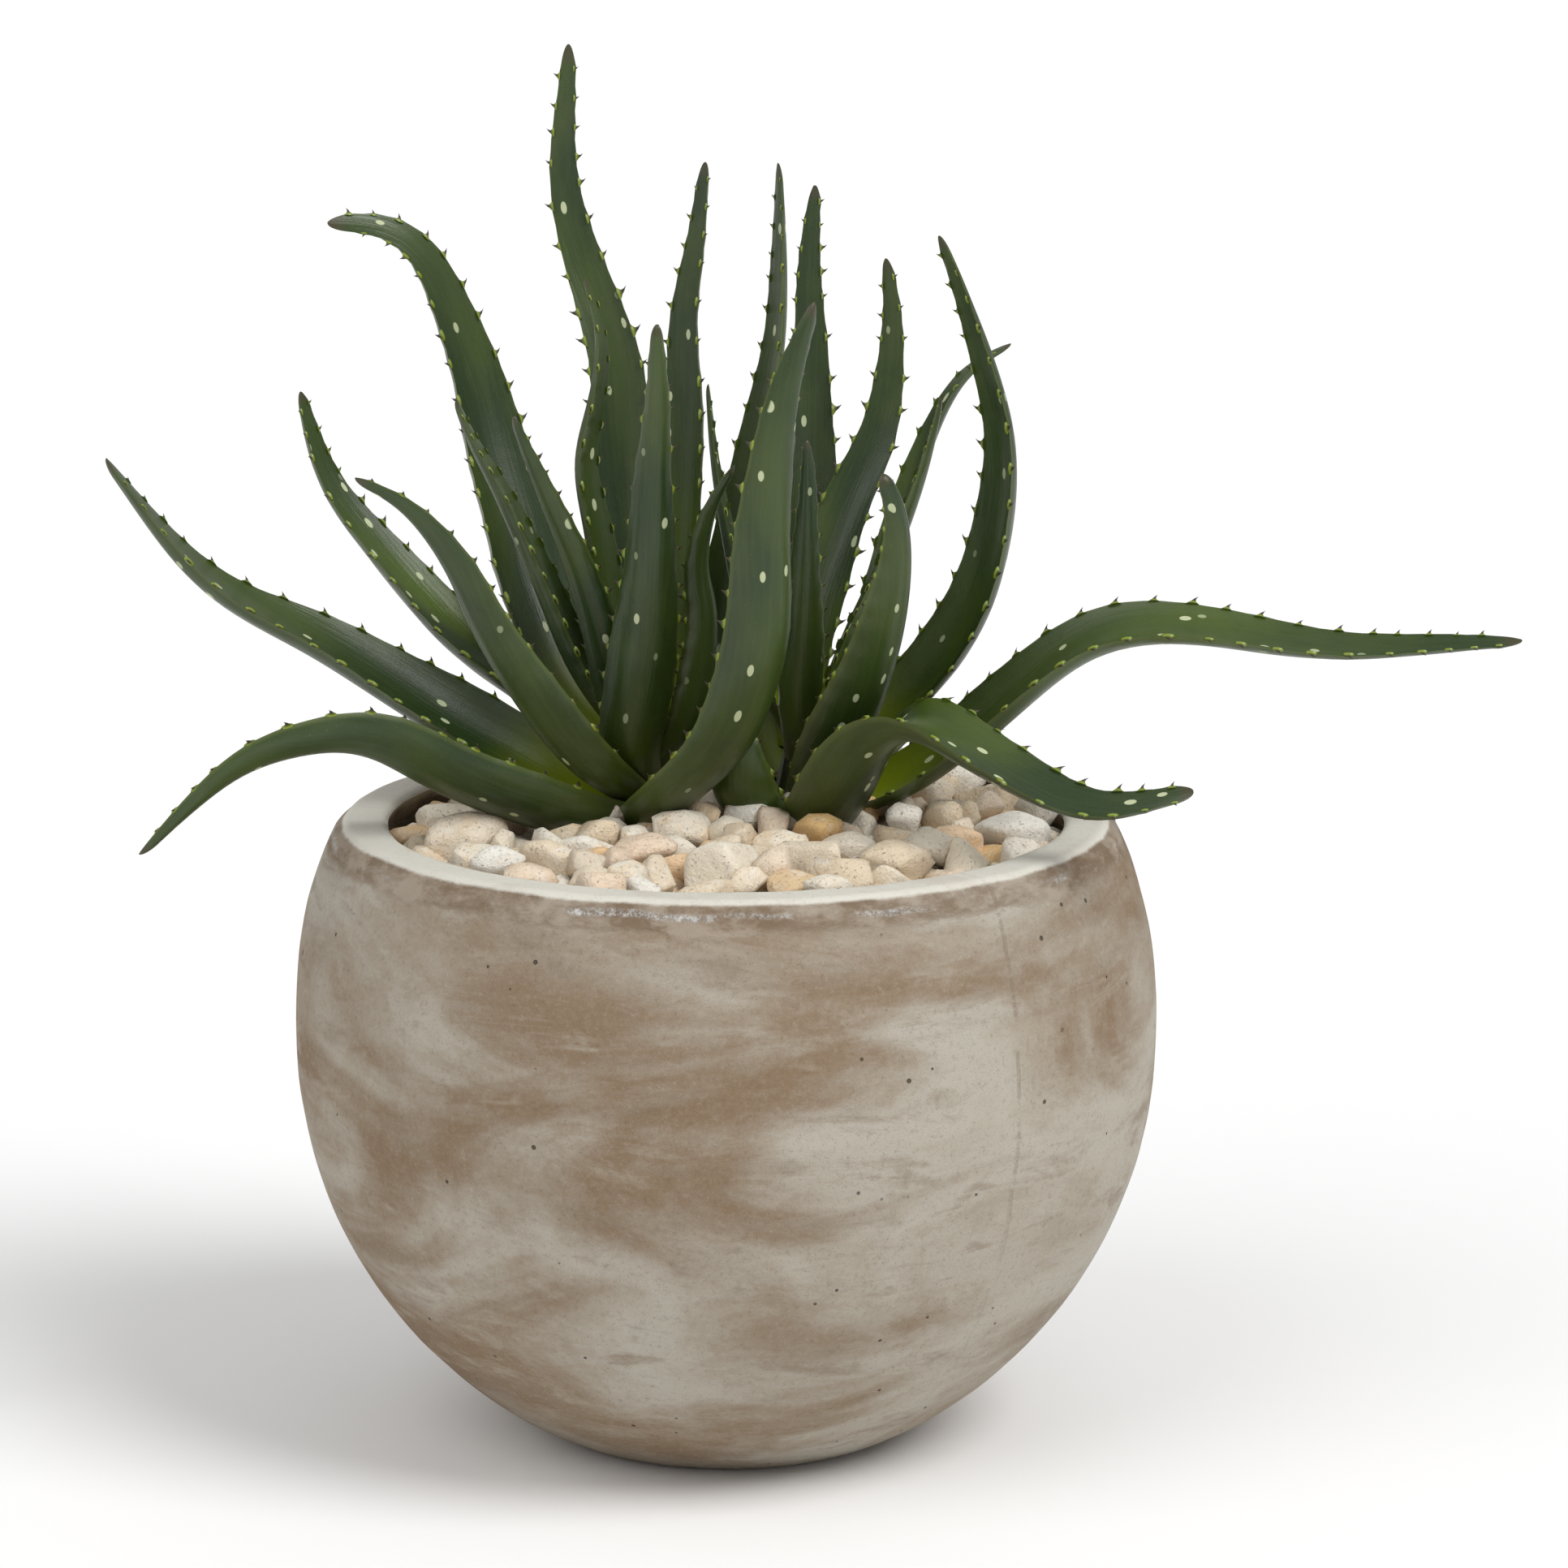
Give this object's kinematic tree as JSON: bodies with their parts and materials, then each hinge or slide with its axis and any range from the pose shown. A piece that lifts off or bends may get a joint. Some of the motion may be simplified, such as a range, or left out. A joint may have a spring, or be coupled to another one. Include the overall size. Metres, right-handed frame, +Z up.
{
  "type": "potted aloe plant",
  "caption": "Toothed succulent rosettes planted side by side in a round cast planter, topped with pale pebbles; rests on the planter's flat foot.",
  "frame": {"origin": "centre of the planter's flat foot, on the surface that it stands on", "axes": "+Z up along the planter's turned axis, -Y towards the front of the plant, +X towards its longest low leaf"},
  "size_m": [0.4868, 0.301, 0.4791],
  "materials": {
    "washed_concrete": "cast cement, washed with warm brown and pale grey swirls, fine sandy grain with small pinholes, flat grey rim",
    "potting_soil": "dark crumbly potting soil, dry on top",
    "river_pebble": "tumbled river pebbles, cream, ivory, peach and honey, smooth to slightly chalky",
    "aloe_skin": "dark green waxy succulent skin with a satin sheen, pale oval spots and toothed edges with brown tips",
    "aloe_crown": "yellow-green fleshy stem, satin"
  },
  "bodies": {
    "root": {"planter": "washed_concrete", "soil": "potting_soil", "pebble_bed": "river_pebble", "pebble_01": "river_pebble", "pebble_02": "river_pebble", "pebble_03": "river_pebble", "pebble_04": "river_pebble", "pebble_05": "river_pebble", "pebble_06": "river_pebble", "pebble_07": "river_pebble", "pebble_08": "river_pebble", "pebble_09": "river_pebble", "pebble_10": "river_pebble", "pebble_11": "river_pebble", "pebble_12": "river_pebble", "pebble_13": "river_pebble", "pebble_14": "river_pebble", "pebble_15": "river_pebble", "pebble_16": "river_pebble", "pebble_17": "river_pebble", "pebble_18": "river_pebble", "pebble_19": "river_pebble", "pebble_20": "river_pebble", "pebble_21": "river_pebble", "pebble_22": "river_pebble", "pebble_23": "river_pebble", "pebble_24": "river_pebble", "pebble_25": "river_pebble", "pebble_26": "river_pebble", "pebble_27": "river_pebble", "left_crown": "aloe_crown", "left_leaf_arching_front": "aloe_skin", "left_leaf_long_side": "aloe_skin", "left_leaf_side_back": "aloe_skin", "left_leaf_front_side": "aloe_skin", "left_leaf_hooked_back": "aloe_skin", "left_leaf_tallest": "aloe_skin", "left_leaf_front_hero": "aloe_skin", "left_leaf_front_upright": "aloe_skin", "left_leaf_back_upright": "aloe_skin", "left_leaf_back_right": "aloe_skin", "left_leaf_short_right": "aloe_skin", "left_leaf_inner_side": "aloe_skin", "left_leaf_inner_front": "aloe_skin", "left_leaf_inner_wavy": "aloe_skin", "left_leaf_low_back": "aloe_skin", "right_crown": "aloe_crown", "right_leaf_folded_front": "aloe_skin", "right_leaf_long_side": "aloe_skin", "right_leaf_bowed_side": "aloe_skin", "right_leaf_stub_front": "aloe_skin", "right_leaf_hooked_back": "aloe_skin", "right_leaf_back_lean": "aloe_skin", "right_leaf_back_upright": "aloe_skin", "right_leaf_inner_side": "aloe_skin", "right_leaf_front_side": "aloe_skin", "right_leaf_inner_front": "aloe_skin", "right_leaf_inner_slim": "aloe_skin", "right_leaf_low_back": "aloe_skin", "right_leaf_low_back_inner": "aloe_skin"}
  },
  "joints": []
}
